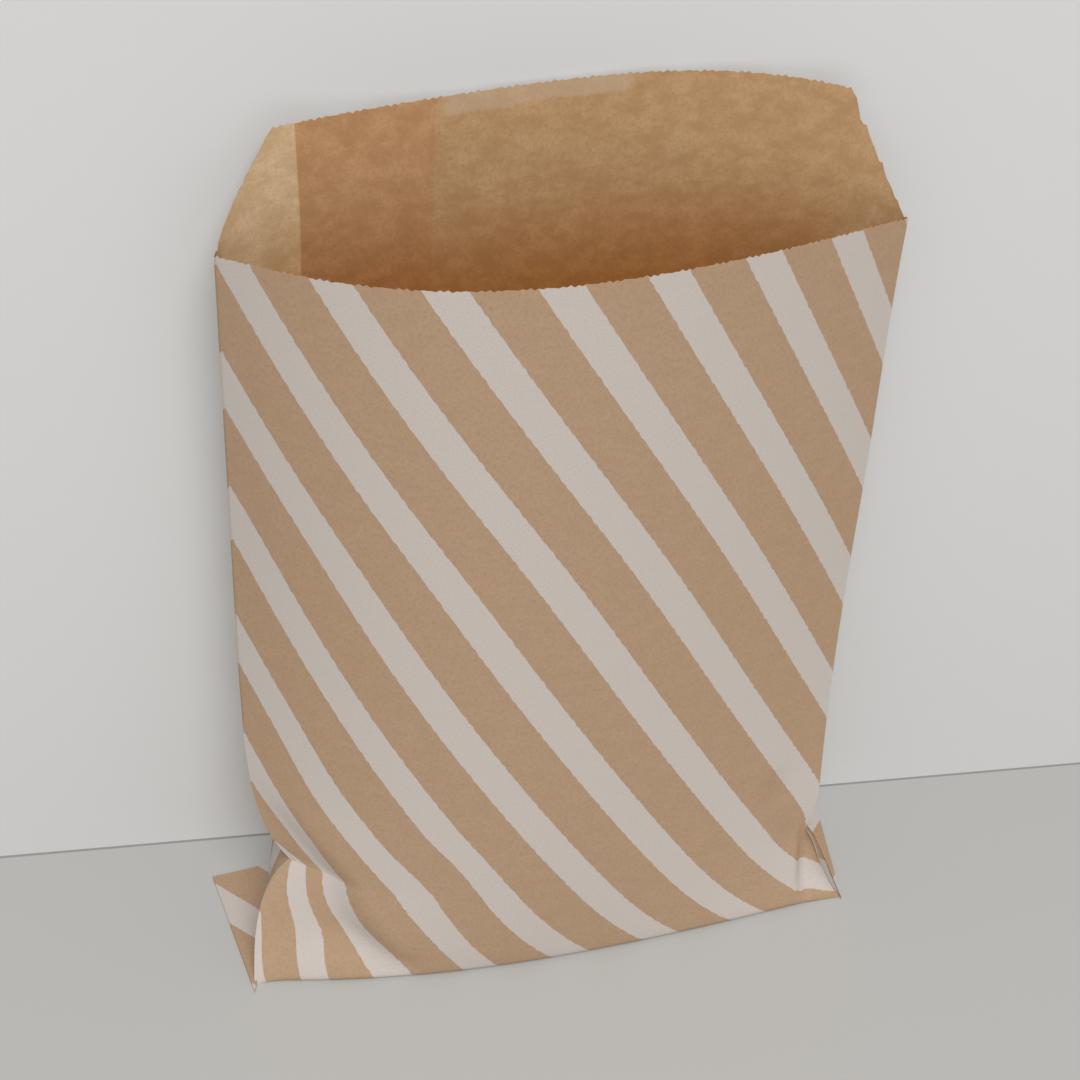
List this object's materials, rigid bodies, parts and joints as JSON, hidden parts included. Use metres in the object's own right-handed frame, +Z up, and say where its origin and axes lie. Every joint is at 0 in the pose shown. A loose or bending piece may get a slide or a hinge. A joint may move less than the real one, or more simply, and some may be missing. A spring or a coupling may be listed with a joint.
{
  "type": "paper bag",
  "caption": "Flat kraft paper bag with white diagonal stripes, opened and standing on its folded foot.",
  "frame": {"origin": "on the table, at the middle of the bag's bounding box", "axes": "+Z up to the mouth, -Y out of the front panel, +X to the bag's right as seen from the front"},
  "size_m": [0.1376, 0.042, 0.1767],
  "materials": {
    "kraft_paper": "matt brown kraft paper, white diagonal stripes printed outside"
  },
  "bodies": {
    "root": {"paper_bag": "kraft_paper"}
  },
  "joints": []
}
